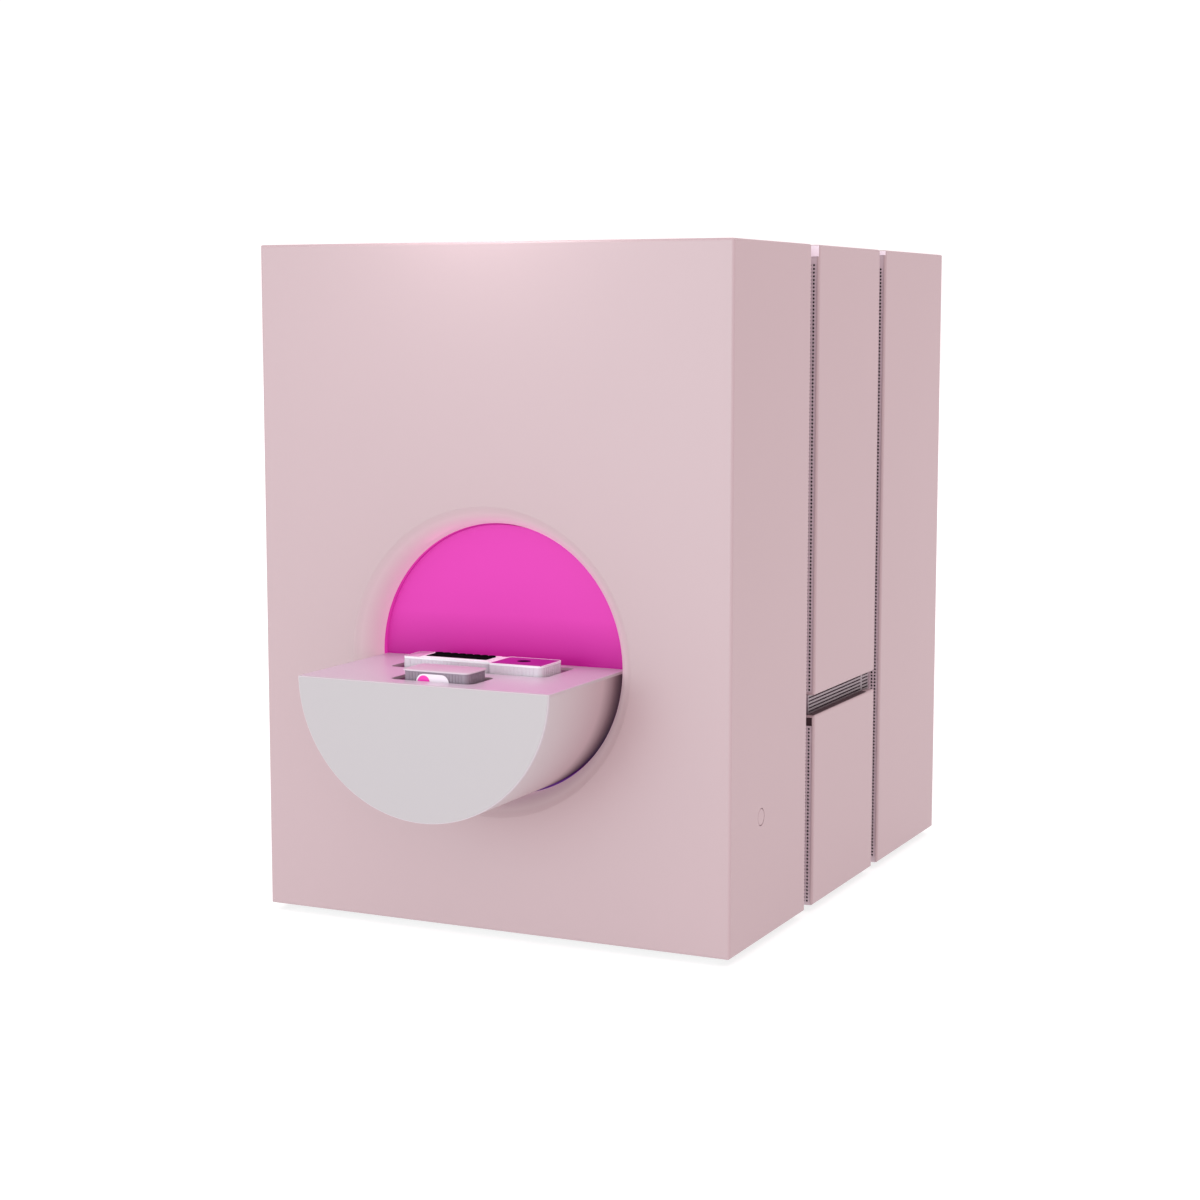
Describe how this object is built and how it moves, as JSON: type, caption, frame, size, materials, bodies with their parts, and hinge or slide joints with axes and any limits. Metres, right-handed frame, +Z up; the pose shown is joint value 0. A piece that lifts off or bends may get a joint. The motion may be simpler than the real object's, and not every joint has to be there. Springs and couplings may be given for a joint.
{
  "type": "benchtop sequencer",
  "caption": "Benchtop DNA sequencer: plain cabinet with two vent grooves, a flared round opening and a half-round drawer that slides out with its consumables.",
  "frame": {"origin": "on the bench, under the middle of the whole outline with the drawer out, in the plane of the feet's undersides", "axes": "+Z up, +X to the right seen from the front, +Y to the back; the drawer slides out along -Y"},
  "size_m": [0.558, 0.8446, 0.743],
  "materials": {
    "cover_paint": "satin powder coat, pale rose grey",
    "drawer_paint": "satin, warm white",
    "deck_plastic": "satin moulded plastic, pale pink",
    "magenta_panel": "smooth magenta",
    "light_guide": "opal light guide",
    "clear_plastic": "clear moulded plastic",
    "smoke_plastic": "ribbed grey-purple plastic",
    "lid_plastic": "pale pink lid",
    "white_plastic": "white moulded plastic",
    "black_plastic": "black",
    "film_magenta": "printed film",
    "vent_metal": "grey perforated strip",
    "louvre_dark": "dark grey",
    "sheet_steel": "zinc-plated sheet",
    "groove_paint": "satin paint in shadow",
    "rubber": "matt rubber",
    "bright_steel": "ground steel",
    "cast_grey": "cast housing",
    "board_green": "solder mask",
    "rocker_red": "red moulded plastic"
  },
  "bodies": {
    "cabinet": {"front_cover": "cover_paint", "opening_collar": "cover_paint", "middle_cover": "cover_paint", "lower_panel_right": "cover_paint", "lower_panel_left": "cover_paint", "rear_cover": "cover_paint", "back_panel": "sheet_steel", "base_plate": "sheet_steel", "chassis": "groove_paint", "louvre_right": "louvre_dark", "louvre_left": "louvre_dark", "button_switch": "black_plastic", "bay_liner": "white_plastic", "bay_stands": "sheet_steel", "light_ring": "light_guide", "outer_rails": "bright_steel", "drawer_shelf": "sheet_steel", "drive_motor": "cast_grey", "optics_shelf": "sheet_steel", "imaging_module": "cast_grey", "syringe_pump": "white_plastic", "valve_block": "white_plastic", "computer_board": "board_green", "power_supply": "sheet_steel", "mains_inlet": "black_plastic", "port_panel": "bright_steel", "back_screws": "bright_steel", "vent_front_upper_right": "vent_metal", "vent_front_upper_left": "vent_metal", "vent_front_lower_right": "vent_metal", "vent_front_lower_left": "vent_metal", "vent_rear_right": "vent_metal", "vent_rear_left": "vent_metal", "foot_front_right": "rubber", "foot_front_left": "rubber", "foot_rear_right": "rubber", "foot_rear_left": "rubber", "fan_frame_right": "black_plastic", "fan_frame_left": "black_plastic"},
    "drawer": {"drawer_shell": "cover_paint", "drawer_front": "drawer_paint", "deck_plate": "deck_plastic", "front_pocket": "deck_plastic", "rear_pocket": "deck_plastic", "bulkhead": "magenta_panel", "inner_rails": "bright_steel", "drive_rack": "bright_steel"},
    "cell_tray": {"cell_tray": "smoke_plastic"},
    "cell_lid": {"cell_lid": "lid_plastic"},
    "cartridge": {"cartridge_body": "clear_plastic", "cartridge_frame": "white_plastic", "well_block": "black_plastic", "cartridge_film": "film_magenta"},
    "pinion": {"drive_pinion": "bright_steel"},
    "button": {"power_button": "cover_paint"},
    "lens": {"focus_lens": "bright_steel"},
    "plunger": {"pump_plunger": "bright_steel"},
    "fan_right": {"fan_rotor_right": "black_plastic"},
    "fan_left": {"fan_rotor_left": "black_plastic"},
    "rocker": {"mains_rocker": "rocker_red"}
  },
  "joints": [
    {"name": "drawer_slide", "type": "slide", "parent": "cabinet", "child": "drawer", "axis": [0, 1, 0], "range_m": [0, 0.1457]},
    {"name": "pinion_spin", "type": "hinge", "parent": "cabinet", "child": "pinion", "pos_m": [0, -0.05244, 0.2694], "axis": [-1, 0, 0], "range_deg": [0, 420]},
    {"name": "cell_tray_lift", "type": "slide", "parent": "drawer", "child": "cell_tray", "axis": [0, 0, 1], "range_m": [0, 0.06]},
    {"name": "cell_lid_lift", "type": "slide", "parent": "cell_tray", "child": "cell_lid", "axis": [0, 0, 1], "range_m": [0, 0.02]},
    {"name": "cartridge_lift", "type": "slide", "parent": "drawer", "child": "cartridge", "axis": [0, 0, 1], "range_m": [0, 0.06]},
    {"name": "button_press", "type": "slide", "parent": "cabinet", "child": "button", "axis": [-1, 0, 0], "range_m": [0, 0.0015], "stiffness_N_per_m": 800},
    {"name": "lens_focus", "type": "slide", "parent": "cabinet", "child": "lens", "axis": [0, 0, -1], "range_m": [0, 0.004]},
    {"name": "plunger_stroke", "type": "slide", "parent": "cabinet", "child": "plunger", "axis": [0, 0, 1], "range_m": [0, 0.03]},
    {"name": "fan_right_spin", "type": "hinge", "parent": "cabinet", "child": "fan_right", "pos_m": [0.11, 0.40235, 0.568], "axis": [0, 1, 0], "continuous": true},
    {"name": "fan_left_spin", "type": "hinge", "parent": "cabinet", "child": "fan_left", "pos_m": [-0.11, 0.40235, 0.568], "axis": [0, 1, 0], "continuous": true},
    {"name": "rocker_tilt", "type": "hinge", "parent": "cabinet", "child": "rocker", "pos_m": [-0.2, 0.41635, 0.12], "axis": [1, 0, 0], "range_deg": [0, 16]}
  ],
  "couplings": [
    {"joint": "pinion_spin", "follows": "drawer_slide", "rad_per_m": 50}
  ]
}
